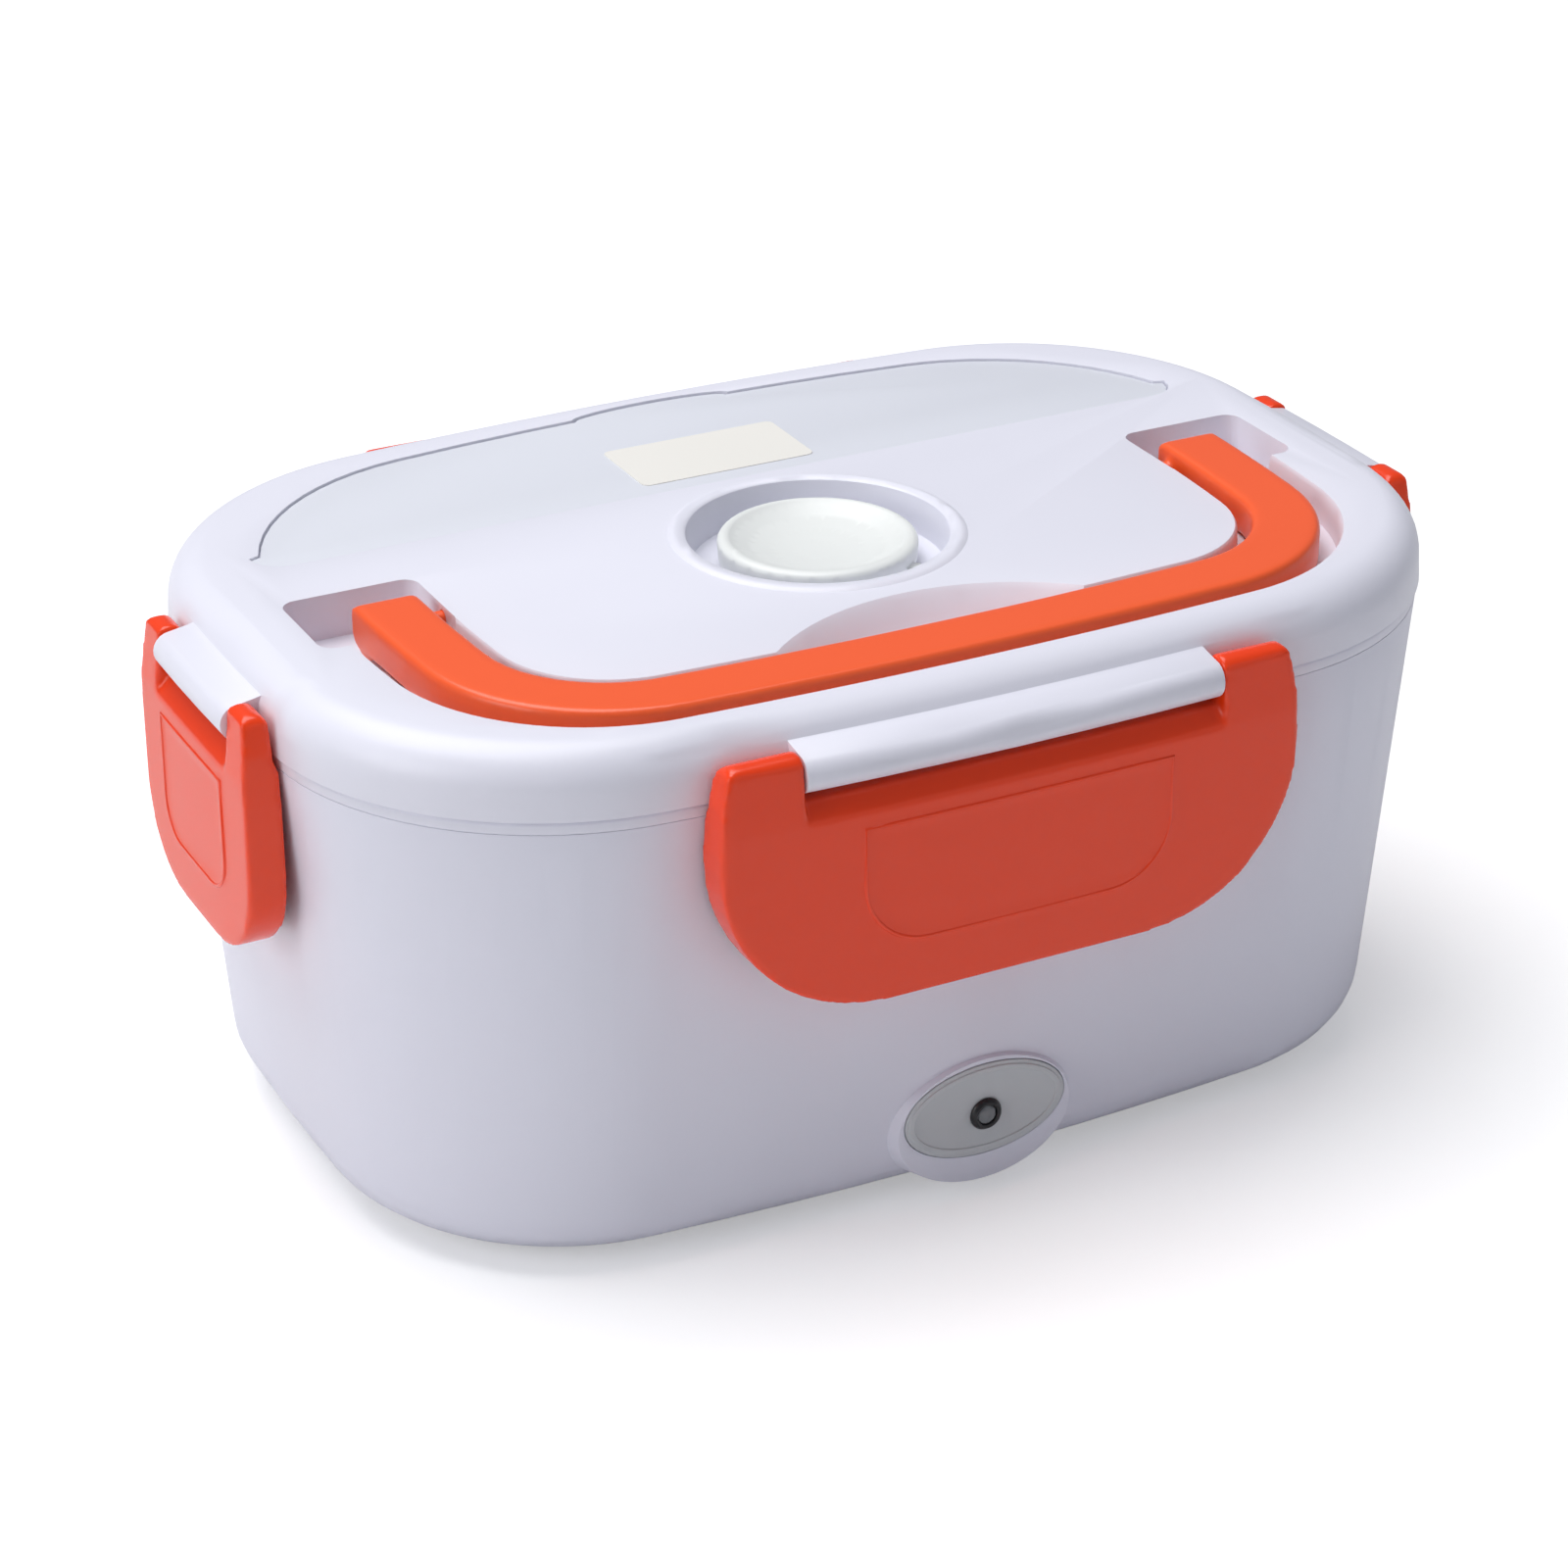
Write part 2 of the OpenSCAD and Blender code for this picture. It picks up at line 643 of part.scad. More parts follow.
// Food tray: a steel dish that rests on the heater plate
tray_rim_z = z_rim;
tray_edge_in = flange_in + 0.35;
tray_top_in = flange_in + tray_gap + 1.8;
tray_low_in = liner_face(plate_top + 10) + tray_gap + 1.8;
tray_round = 8;
module tray_ring() {
    round_path(case_path) polygon(concat(
        [[-tray_edge_in, tray_rim_z - 0.6], [-tray_edge_in, tray_rim_z + 0.1], [-tray_edge_in - 0.6,
            tray_rim_z + 0.6],
            [-tray_top_in - 1, tray_rim_z + 0.6], [-tray_top_in - tray_wall, tray_rim_z]],
        arc(-tray_low_in - tray_round - tray_wall, plate_top + tray_wall + tray_round, tray_round,
            tray_round, 0, -90),
        [[-tray_low_in - tray_round - 8, plate_top + tray_wall], [-tray_low_in - tray_round - 8,
            plate_top]],
        arc(-tray_low_in - tray_round - tray_wall, plate_top + tray_wall + tray_round,
            tray_round + tray_wall, tray_round + tray_wall, -90, 0),
        [[-tray_top_in, tray_rim_z - 0.6]]));
}
module food_tray() {
    color(steel) {
        tray_ring();
        disc(case_path, tray_low_in + tray_round + 4, plate_top, plate_top + tray_wall);
    }
}

// Side tray: hangs in the right part of the food tray by its flange
side_tray_wall = 1.4;
side_tray_x = half_length - tray_top_in - side_tray_length;
side_tray_floor = z_rim - side_tray_depth;
side_flange_z = tray_rim_z + 0.6;
function side_face(z) = tray_top_in + tray_wall + 0.8 +
    (tray_low_in - tray_top_in) * (z_rim - z) / (z_rim - plate_top - 10);
module side_solid(d, z0, z1) {
    intersection() {
        union() {
            round_path(case_path) polygon([[-side_face(z1) - d, z1], [-side_face(z0) - d, z0],
                [-side_face(z0) - d - 14, z0], [-side_face(z0) - d - 14, z1]]);
            disc(case_path, side_face(z0) + d + 10, z0, z1);
        }
        block(side_tray_x + d, far, -far, far, z0 - 1, z1 + 1);
    }
}
module side_tray() {
    color(frost) difference() {
        union() {
            side_solid(0, side_tray_floor, side_flange_z + 0.6);
            intersection() {
                disc(case_path, tray_edge_in + 0.2, side_flange_z, side_flange_z + 1.2);
                block(side_tray_x - 2.5, far, -far, far, 0, 200);
            }
        }
        side_solid(side_tray_wall, side_tray_floor + side_tray_wall, side_flange_z + 2);
    }
}

// Lid
seal_roof = z_lid + seal_height;
web_z = seal_roof + 1.7;
seal_out_in = 2.4;
seal_in_in = seal_out_in + seal_width + 0.7;
rib_in = seal_in_in + 1.7;
skin_radius = shoulder_radius - lid_wall;
lid_under = case_height - lid_wall;
inner_panel_z = z_lid + 0.1;
inner_panel_wall = 1.8;
deep_z = inner_panel_z + inner_panel_wall;
panel_in = rib_in + 0.2;

// Ledges for the latches
axis_z = z_lid + 4.9;
ledge_radius = 3.4;
ledge_z = axis_z - 1;
function axis_out(h, r, ledge) = h + ledge_out - sag(ledge, r);
module ledge(h, r, half) {
    difference() {
        bow(h, r, half, z_lid, case_height)
            polygon(concat(arc(ledge_out, ledge_z, ledge_radius, ledge_radius, -90, 70, 10),
                [[0, ledge_z + 3.95], [-1.2, ledge_z + 4.25], [-2.2, ledge_z + 4.6],
                    [-3.5, ledge_z + 4.2], [-1.4, ledge_z + 1.8], [-1.4, ledge_z - ledge_radius]]));
        for (s = [-1, 1])
            translate([s * half, 0, 0])
                bar_x(-axis_out(h, r, half), axis_z, stub_radius + 0.05, -4, 4);
    }
}

// Handle and its groove
handle_path = [half_length - handle_side_margin, half_depth - handle_front_margin, 918, 402,
    handle_corner];
groove_path = [handle_path[0] + groove_side_gap, handle_path[1] + groove_front_gap, 918, 402,
    handle_corner + 2];
plateau_path = [handle_path[0] - handle_width - plateau_gap, handle_path[1] - handle_width - plateau_gap,
    900, 400, handle_corner - handle_width - 1];
handle_top = case_height + handle_proud;
handle_z = handle_top - handle_height;
groove_z = handle_z - 0.3;
trough_wall = 1.8;
pivot_y = arm_end - pivot_back;
pivot_z = handle_z + 3.3;
pocket_z = pivot_z - 5.8;
pocket_in_x = plateau_path[0] - 1;
pocket_out_x = groove_path[0] + 5.7;
pocket_rear = arm_end + pocket_reach;
pocket_front = pivot_y - 8.5;
pivot_reach = 4;

// The groove's two walls, swept as bands that overlap between them; g widens them
module groove(g, z0) {
    top = case_height;
    half_front() round_path(groove_path)
        polygon([[g, z0], [g + 0.4, top - 0.8], [g + 1.2, top + 0.8], [g + 1.2, top + 4], [-11, top + 4],
            [-11, z0]]);
    half_front() round_path(plateau_path)
        polygon([[-g, z0], [-g - 0.35, top - 0.6], [-g - 1.15, top + 0.6], [-g - 1.15, top + 4],
            [11, top + 4], [11, z0]]);
}
module half_front() {
    intersection() {
        children();
        block(-far, far, -far, pocket_front + 6, 0, far);
    }
}
module pocket(g, z0, z1) {
    for (s = [-1, 1])
        translate([s * (pocket_in_x + pocket_out_x) / 2, (pocket_front + pocket_rear) / 2, 0])
            plate(z0, z1) polygon(rounded((pocket_out_x - pocket_in_x) / 2 + g,
                (pocket_rear - pocket_front) / 2 + g, 3));
}

// Finger scoop in front of the vent
scoop_y = -(half_depth + 7.4);
scoop_radius = 45;
module scoop(g, z0) {
    intersection() {
        translate([0, scoop_y, 0]) rotate_extrude($fn = 96)
            polygon([[0, z0], [scoop_radius - 5 + g, z0], [scoop_radius - 1 + g, case_height - 1],
                [scoop_radius + g, case_height], [scoop_radius + g, case_height + 4], [0,
                    case_height + 4]]);
        block(-60, 60, -handle_path[1] + 5, 0, 0, far);
    }
}

// Cutlery compartment
cutlery_path = [half_length - cutlery_side_margin, half_depth - cutlery_margin, 500, 400,
    corner_radius - 6];
tip_radius = 6;
recess_z = case_height - 1.8;
well_in = 3.4;
cutlery_floor = deep_z + 1.6;
cutlery_wall = 1.6;
thumb_half = 17;
thumb_y = cutlery_path[1] - 0.6;
function side_x(p, y) = p[0] - sag(y, p[3]);
function cutlery_points(d) = let (p = inset(cutlery_path, d), yc = cutlery_front + tip_radius,
    r = tip_radius - d, x = side_x(p, yc) - r)
    concat([for (q = outline(p)) if (q[1] > yc + 0.5) q], arc(-x, yc, r, r, 180, 270, 4),
        arc(x, yc, r, r, 270, 360, 4));

// Vent well
well_z = case_height - 6.5;
well_under = well_z - 1.6;
stem_fit = 0.1;

module vent_hole(r) {
    translate([0, vent_y, z_lid - 1]) cylinder(r = r, h = lid_height, $fn = 96);
}

module lid_shell() {
    color(white) difference() {
        union() {
            round_path(case_path) polygon(concat([[0, z_lid]],
                arc(-shoulder_in, z_shoulder, shoulder_radius, shoulder_radius, 0, 90, 10),
                [[-shoulder_in - 8, case_height], [-shoulder_in - 8, lid_under]],
                arc(-shoulder_in, z_shoulder, skin_radius, skin_radius, 90, 0, 8),
                [[-rib_in, web_z], [-rib_in, z_lid + 0.2], [-seal_in_in, z_lid + 0.2],
                    [-seal_in_in, seal_roof], [-seal_out_in, seal_roof], [-seal_out_in, z_lid]]));
            disc(case_path, shoulder_in + 4, lid_under, case_height);
            at_front() ledge(half_depth, long_bow, long_ledge_half);
            at_rear() ledge(half_depth, long_bow, long_ledge_half);
            at_left() ledge(half_length, short_bow, short_ledge_half);
            at_right() ledge(half_length, short_bow, short_ledge_half);
            intersection() {
                union() {
                    groove(trough_wall, groove_z - trough_wall);
                    scoop(trough_wall, groove_z - trough_wall);
                }
                block(-far, far, -far, far, 0, lid_under + 0.5);
            }
            pocket(trough_wall, pocket_z - trough_wall, lid_under + 0.5);
            for (s = [-1, 1])
                translate([s * (pocket_in_x - 2.5), 0, 0])
                    block(-2.5, 2.5, pivot_y - 3.6, pivot_y + 3.6, groove_z, lid_under + 0.5);
            plate(cutlery_floor - cutlery_wall, lid_under + 0.5)
                polygon(cutlery_points(well_in - cutlery_wall));
            plate(lid_under - 1, lid_under + 0.5) polygon(cutlery_points(-1));
            translate([0, vent_y, well_under])
                cylinder(r = well_radius + 1.6, h = lid_under + 0.5 - well_under, $fn = 96);
            translate([0, vent_y, case_height - 1]) rotate_extrude($fn = 96)
                polygon([[well_radius - 0.2, 0], [well_radius - 0.2, 1.2], [well_radius + 0.3, 1.6],
                    [well_radius + 1.4, 1.75], [well_radius + 2.4, 1.5], [well_radius + 3, 1],
                        [well_radius + 3, 0]]);
        }
        groove(0, groove_z);
        pocket(0, pocket_z, case_height + 4);
        scoop(0, groove_z);
        plate(recess_z, case_height + 4) polygon(cutlery_points(0));
        plate(cutlery_floor, case_height + 4) polygon(cutlery_points(well_in));
        translate([0, thumb_y, 0]) plate(recess_z, case_height + 4) polygon(oval(thumb_half, 3, 32));
        translate([0, vent_y, 0]) rotate_extrude($fn = 96)
            polygon([[0, well_z], [well_radius - 1, well_z], [well_radius, case_height + 2], [0,
                case_height + 2]]);
        vent_hole(stem_radius + stem_fit);
        for (s = [-1, 1])
            translate([s * pocket_in_x, 0, 0])
                bar_x(pivot_y, pivot_z, pivot_radius + 0.05, -pivot_reach - 0.3, pivot_reach + 0.3);
    }
}

module lid_inner_panel() {
    color(white) difference() {
        union() {
            disc(case_path, panel_in, inner_panel_z, deep_z);
            difference() {
                disc(case_path, panel_in + 0.6, deep_z - 0.5, deep_z + 1.8);
                disc(case_path, panel_in + 2, deep_z - 1, deep_z + 2);
            }
        }
        vent_hole(stem_radius + 2.6);
    }
}

module lid_seal() {
    color(grey) round_path(case_path)
        polygon([[-seal_out_in - 0.35, z_lid], [-seal_out_in - 0.35, seal_roof],
            [-seal_out_in - 0.35 - seal_width, seal_roof], [-seal_out_in - 0.35 - seal_width, z_lid],
            [-seal_out_in + 0.65 - seal_width, z_lid], [-seal_out_in - 0.35 - seal_width / 2,
                z_lid + 0.9],
            [-seal_out_in - 1.35, z_lid]]);
}

// Vent cap, its stem and its sealing ring
cap_top = case_height - 0.4;
cap_base = well_z + 1.6;
stem_end = z_lid - 0.3;
module vent_cap() {
    color([0.95, 0.95, 0.94]) translate([0, vent_y, 0]) difference() {
        union() {
            rotate_extrude($fn = 96) polygon(concat(
                [[0, cap_top - 3.2], [4, cap_top - 3.15], [8, cap_top - 2.8], [12, cap_top - 2],
                    [cap_radius - 3.4, cap_top - 0.8]],
                arc(cap_radius - 1.6, cap_top - 1.4, 1.6, 1.4, 135, 0, 8),
                [[cap_radius - 0.2, cap_base + 0.1], [cap_radius - 1.6, cap_base + 0.1],
                    [cap_radius - 1.8, cap_base + 1.8], [cap_radius - 3.6, cap_base + 1.4],
                    [cap_radius - 4.8, cap_base], [stem_radius, cap_base], [stem_radius, stem_end + 1.1],
                    [stem_radius + 1.3, stem_end + 1.1], [stem_radius + 0.8, stem_end],
                    [stem_radius - 1.6, stem_end], [stem_radius - 1.6, cap_base - 0.4], [0,
                        cap_base - 0.4]]));
            for (a = [-50, -130])
                rotate([0, 0, a]) block(cap_radius - 1, cap_radius + 1.2, -1.6, 1.6, cap_base + 0.1,
                    cap_base + 1.2);
        }
        for (a = [0, 90])
            rotate([0, 0, a]) block(-stem_radius - 1, stem_radius + 1, -1.6, 1.6, stem_end + 2.4,
                stem_end + 5.2);
    }
}

module vent_seal() {
    color(grey) translate([0, vent_y, 0]) rotate_extrude($fn = 96)
        polygon([[stem_radius + 0.05, cap_base], [stem_radius + 0.05, cap_base - 0.7],
            [stem_radius + 3, cap_base - 0.8], [stem_radius + 4, cap_base - 1.3],
            [stem_radius + 5, cap_base - 0.8], [stem_radius + 5.4, cap_base]]);
}

module cutlery_cover() {
    color(frost) {
        plate(recess_z, recess_z + cutlery_cover_wall) polygon(cutlery_points(0.4));
        difference() {
            plate(recess_z - 1.4, recess_z + 0.3) polygon(cutlery_points(well_in + 0.3));
            plate(recess_z - 2, recess_z + 0.2) polygon(cutlery_points(well_in + 1.5));
        }
        translate([0, thumb_y, 0])
            plate(recess_z, recess_z + cutlery_cover_wall) polygon(oval(thumb_half - 0.8, 2.5, 32));
    }
}

// Handle
module along_x(x0, x1, points) {
    translate([x0, 0, 0]) rotate([90, 0, 90]) linear_extrude(x1 - x0) polygon(points);
}
module handle() {
    color(orange) {
        intersection() {
            round_path(handle_path) polygon(concat(
                arc(-1.2, handle_top - 1.2, 1.2, 1.2, 0, 90, 4),
                arc(-handle_width + 1.2, handle_top - 1.2, 1.2, 1.2, 90, 180, 4),
                arc(-handle_width + 0.7, handle_z + 0.7, 0.7, 0.7, 180, 270, 2),
                arc(-0.7, handle_z + 0.7, 0.7, 0.7, 270, 360, 2)));
            along_x(-far, far, concat([[-far, handle_z - 5]],
                arc(arm_end - 2.5, handle_z + 2.5, 2.5, 2.5, 270, 360, 5),
                arc(arm_end - 1.5, handle_top - 1.5, 1.5, 1.5, 0, 90, 4), [[-far, handle_top + 5]]));
        }
        for (s = [-1, 1])
            translate([s * pocket_in_x, 0, 0])
                bar_x(pivot_y, pivot_z, pivot_radius, -pivot_reach, pivot_reach);
        for (s = [-1, 1])
            intersection() {
                translate([s * (handle_path[0] - handle_width / 2), 0, 0])
                    bar_x(pivot_y, pivot_z, pivot_back, 0.3 - handle_width / 2, handle_width / 2 - 0.3);
                block(-far, far, -far, far, 0, pivot_z);
            }
    }
}

// Latches: a bowed cap with two ears, whose face is flatter than the case behind it
crease_z = axis_z - 8.9;
crease_out = 6.4;
face_low = 6.8;
face_high = 5;
face_top_z = axis_z + 4;
flatness = 2;
ear_radius = 3.1;
ramp_out = 3.6;
ramp_z = crease_z + 3.1;
ramp_slope = 1.16;
ramp_run = 3.6;
notch_gap = 0.3;
notch_round = 1.5;
panel_edge = 0.7;
panel_proud = 0.2;
function face_out(z) = z > crease_z ?
    crease_out + (face_high - crease_out) * (z - crease_z) / (face_top_z - crease_z) :
    crease_out + (face_low - crease_out) * (crease_z - z) / (crease_z - latch_bottom);

// The latch seen from the front, with the notch that takes the ledge
function notch(e, z) = concat([[e, face_top_z + 2]],
    arc(e - notch_round, z + notch_round, notch_round, notch_round, 0, -90, 4),
    arc(-e + notch_round, z + notch_round, notch_round, notch_round, 270, 180, 4),
    [[-e, face_top_z + 2]]);
function latch_shape(w, c) = let (t = axis_z + ear_radius)
    concat(arc(-w + c, latch_bottom + c, c, c, 180, 270, 12),
        arc(w - c, latch_bottom + c, c, c, 270, 360, 12),
        [[w, axis_z - 12], [w - 0.6, axis_z - 4]], arc(w - 4.1, t - 2.5, 2.5, 2.5, 0, 90, 6),
        arc(-w + 4.1, t - 2.5, 2.5, 2.5, 90, 180, 6), [[-w + 0.6, axis_z - 4], [-w, axis_z - 12]]);
function hollow_shape(w, c, k) = concat(
    arc(-w + c, latch_bottom + c, c - k, c - k, 180, 270, 10),
    arc(w - c, latch_bottom + c, c - k, c - k, 270, 360, 10),
    [[w - k, crease_z - k], [-w + k, crease_z - k]]);
function panel_shape(a, b, c, k) = concat(
    arc(-a + c, b + c, c - k, c - k, 180, 270, 8), arc(a - c, b + c, c - k, c - k, 270, 360, 8),
    [[a - k, crease_z - 3.2 - k], [-a + k, crease_z - 3.2 - k]]);

module latch(h, r, w, c, ledge, catch, panel) {
    axis_y = -axis_out(h, r, ledge);
    e = ledge + notch_gap;
    face_r = flatness * r;
    color(orange) {
        difference() {
            intersection() {
                upright(-h - 12, -h + 8, 0, latch_shape(w, c));
                bow(h, r, w + 1, latch_bottom - 1, face_top_z)
                    polygon([[14, case_height], [14, latch_bottom - 6], [latch_back, latch_bottom - 6],
                        [latch_back, z_rim], [0.6, z_lid - 0.5], [0.6, case_height]]);
                bow(h, face_r, w + 1, latch_bottom - 1, face_top_z)
                    polygon([[face_out(case_height), case_height], [crease_out, crease_z],
                        [face_out(latch_bottom - 6), latch_bottom - 6], [-14, latch_bottom - 6],
                        [-14, case_height]]);
                union() {
                    block(-w - 1, w + 1, -h - 20, -h + 20, 0, axis_z);
                    bar_x(axis_y, axis_z, ear_radius, -w - 1, w + 1);
                }
            }
            intersection() {
                upright(-h - 12, -h + 12, 0, hollow_shape(w, c, latch_wall));
                bow(h, face_r, w + 1, latch_bottom - 2, crease_z + 1)
                    polygon([[crease_out - latch_wall, crease_z + 4], [crease_out - latch_wall, crease_z],
                        [face_out(latch_bottom - 6) - latch_wall, latch_bottom - 6], [-14, latch_bottom - 6],
                        [-14, crease_z + 4]]);
            }
            intersection() {
                upright(-h - 12, -h + 12, 0, notch(e, crease_z - 1));
                bow(h, face_r, e + 1, crease_z - 2, face_top_z + 1)
                    polygon([[ramp_out + ramp_run, ramp_z - ramp_run * ramp_slope], [ramp_out, ramp_z],
                        [-14, ramp_z], [-14, face_top_z + 2], [14, face_top_z + 2],
                        [14, ramp_z - ramp_run * ramp_slope]]);
            }
        }
        bow(h, r, catch, catch_z - 6, catch_z)
            polygon([[face_out(catch_z) - latch_wall + 0.4, catch_z - 0.4],
                [latch_back + 0.4, catch_z - 0.4], [latch_back, catch_z - 0.8], [latch_back, catch_z - 1.6],
                [face_out(catch_z) - latch_wall + 0.4, catch_z - 5.2]]);
        intersection() {
            difference() {
                upright(-h - 12, -h, 0, panel_shape(panel, latch_bottom + 10.5, c * 0.4, 0));
                upright(-h - 13, -h + 1, 0, panel_shape(panel, latch_bottom + 10.5, c * 0.4, panel_edge));
            }
            bow(h, face_r, w, latch_bottom, crease_z)
                polygon([[crease_out + panel_proud, crease_z], [face_low + panel_proud, latch_bottom],
                    [face_low - 0.3, latch_bottom], [crease_out - 0.3, crease_z]]);
        }
        for (s = [-1, 1])
            translate([s * ledge, 0, 0]) bar_x(axis_y, axis_z, stub_radius, -3.5, 3.5);
    }
}
module long_latch() {
    latch(half_depth, long_bow, long_latch_half, 30, long_ledge_half, catch_half_long - 2, 30);
}
module short_latch() {
    latch(half_length, short_bow, short_latch_half, 18, short_ledge_half, catch_half_short - 1, 15);
}
module latch_front() { at_front() long_latch(); }
module latch_rear() { at_rear() long_latch(); }
module latch_left() { at_left() short_latch(); }
module latch_right() { at_right() short_latch(); }

body_shell();
base_cover();
feet();
base_screws();
inner_liner();
screw_posts();
heater_plate();
ptc_heater();
heater_clamp();
clamp_screws();
thermostat();
thermal_fuse();
power_inlet();
inlet_pins();
lamp_panel();
lamp_bezel();
lamp_lens();
lamp_board();
food_tray();
side_tray();
lid_shell();
lid_inner_panel();
lid_seal();
vent_cap();
vent_seal();
cutlery_cover();
handle();
latch_front();
latch_rear();
latch_left();
latch_right();
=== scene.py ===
"""Looks of the electric lunch box: white tub and lid, orange handle and latches, pale floor."""
import math

import bpy
from mathutils import Matrix, Vector


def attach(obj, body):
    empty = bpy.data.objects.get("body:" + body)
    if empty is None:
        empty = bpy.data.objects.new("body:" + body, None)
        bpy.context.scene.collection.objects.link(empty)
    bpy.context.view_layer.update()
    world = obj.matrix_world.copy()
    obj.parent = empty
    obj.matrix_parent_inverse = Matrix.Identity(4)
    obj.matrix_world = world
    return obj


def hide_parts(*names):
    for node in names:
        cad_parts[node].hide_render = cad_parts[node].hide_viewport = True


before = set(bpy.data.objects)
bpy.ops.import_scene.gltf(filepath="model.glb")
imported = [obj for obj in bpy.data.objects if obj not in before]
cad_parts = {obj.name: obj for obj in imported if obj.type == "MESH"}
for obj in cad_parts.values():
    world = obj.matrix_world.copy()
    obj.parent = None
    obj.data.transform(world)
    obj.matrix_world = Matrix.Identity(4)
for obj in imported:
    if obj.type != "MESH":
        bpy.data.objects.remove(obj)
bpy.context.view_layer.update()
MM = 0.001

# Camera: fitted to the photograph, aimed at the middle of the lid's flat top
LID_PLANE = 106 * MM
CAMERA_AZIMUTH = -27.01
CAMERA_ELEVATION = 26.59
CAMERA_ROLL = -0.23
CAMERA_DISTANCE = 744.2 * MM
CAMERA_SIDE_SHIFT = 2.95 * MM
CAMERA_UP_SHIFT = 48.78 * MM
FOCAL_PIXELS = 4137
PICTURE_PIXELS = 1600
SENSOR_WIDTH = 36


def add_camera():
    azimuth, elevation = math.radians(CAMERA_AZIMUTH), math.radians(CAMERA_ELEVATION)
    back = Vector((math.sin(azimuth) * math.cos(elevation),
                   -math.cos(azimuth) * math.cos(elevation),
                   math.sin(elevation)))
    level_right = Vector((math.cos(azimuth), math.sin(azimuth), 0))
    level_up = back.cross(level_right)
    roll = math.radians(CAMERA_ROLL)
    right = math.cos(roll) * level_right + math.sin(roll) * level_up
    up = back.cross(right)
    aim = Vector((0, 0, LID_PLANE))
    place = aim + CAMERA_DISTANCE * back - CAMERA_SIDE_SHIFT * right - CAMERA_UP_SHIFT * up
    turn = Matrix((right, up, back)).transposed()
    data = bpy.data.cameras.new("camera")
    data.sensor_width = SENSOR_WIDTH
    data.lens = FOCAL_PIXELS / PICTURE_PIXELS * SENSOR_WIDTH
    camera = bpy.data.objects.new("camera", data)
    bpy.context.scene.collection.objects.link(camera)
    camera.matrix_world = Matrix.Translation(place) @ turn.to_4x4()
    bpy.context.scene.camera = camera


# Materials: procedural, laid on each piece's own coordinates
COLOUR_DETAIL = 2
COLOUR_RAMP = (0.35, 0.65)
BUMP_DETAIL = 3
BUMP_DEPTH = 0.1 * MM
EVEN = (1, 1, 1)
BRUSHED = (1, 0.02, 0.02)
PLASTIC_DRIFT = 0.012
PLASTIC_IOR = 1.5
FROSTED_IOR = 1.3


def new_material(name):
    material = bpy.data.materials.new(name)
    material.use_nodes = True
    nodes = material.node_tree.nodes
    shader = nodes["Principled BSDF"]
    place = nodes.new("ShaderNodeTexCoord")
    return material, nodes, material.node_tree.links, shader, place


def mottled_colour(nodes, links, place, shader, colour, scale, spread):
    """Lets the colour drift a little over the piece, as moulded plastic does."""
    noise = nodes.new("ShaderNodeTexNoise")
    noise.inputs["Scale"].default_value = scale
    noise.inputs["Detail"].default_value = COLOUR_DETAIL
    ramp = nodes.new("ShaderNodeValToRGB")
    darker, lighter = ramp.color_ramp.elements
    darker.position, lighter.position = COLOUR_RAMP
    darker.color = [c * (1 - spread) for c in colour] + [1]
    lighter.color = [min(1, c * (1 + spread)) for c in colour] + [1]
    links.new(place.outputs["Object"], noise.inputs["Vector"])
    links.new(noise.outputs["Fac"], ramp.inputs["Fac"])
    links.new(ramp.outputs["Color"], shader.inputs["Base Color"])


def varied_roughness(nodes, links, place, shader, rough, scale, spread):
    noise = nodes.new("ShaderNodeTexNoise")
    noise.inputs["Scale"].default_value = scale
    limits = nodes.new("ShaderNodeMapRange")
    limits.inputs["To Min"].default_value = rough - spread
    limits.inputs["To Max"].default_value = rough + spread
    links.new(place.outputs["Object"], noise.inputs["Vector"])
    links.new(noise.outputs["Fac"], limits.inputs["Value"])
    links.new(limits.outputs["Result"], shader.inputs["Roughness"])


def fine_bump(nodes, links, place, shader, scale, strength, stretch=EVEN):
    """A grain over the surface; stretch draws it out into lines, as on brushed steel."""
    mapping = nodes.new("ShaderNodeMapping")
    mapping.inputs["Scale"].default_value = stretch
    noise = nodes.new("ShaderNodeTexNoise")
    noise.inputs["Scale"].default_value = scale
    noise.inputs["Detail"].default_value = BUMP_DETAIL
    bump = nodes.new("ShaderNodeBump")
    bump.inputs["Strength"].default_value = strength
    bump.inputs["Distance"].default_value = BUMP_DEPTH
    links.new(place.outputs["Object"], mapping.inputs["Vector"])
    links.new(mapping.outputs["Vector"], noise.inputs["Vector"])
    links.new(noise.outputs["Fac"], bump.inputs["Height"])
    links.new(bump.outputs["Normal"], shader.inputs["Normal"])


def plastic(name, colour, rough, grain=0.02):
    material, nodes, links, shader, place = new_material(name)
    mottled_colour(nodes, links, place, shader, colour, scale=9, spread=PLASTIC_DRIFT)
    varied_roughness(nodes, links, place, shader, rough, scale=40, spread=0.03)
    fine_bump(nodes, links, place, shader, scale=900, strength=grain)
    shader.inputs["IOR"].default_value = PLASTIC_IOR
    return material


def metal(name, colour, rough, stretch=EVEN):
    material, nodes, links, shader, place = new_material(name)
    shader.inputs["Metallic"].default_value = 1
    mottled_colour(nodes, links, place, shader, colour, scale=14, spread=0.03)
    varied_roughness(nodes, links, place, shader, rough, scale=60, spread=0.05)
    fine_bump(nodes, links, place, shader, scale=500, strength=0.08, stretch=stretch)
    return material


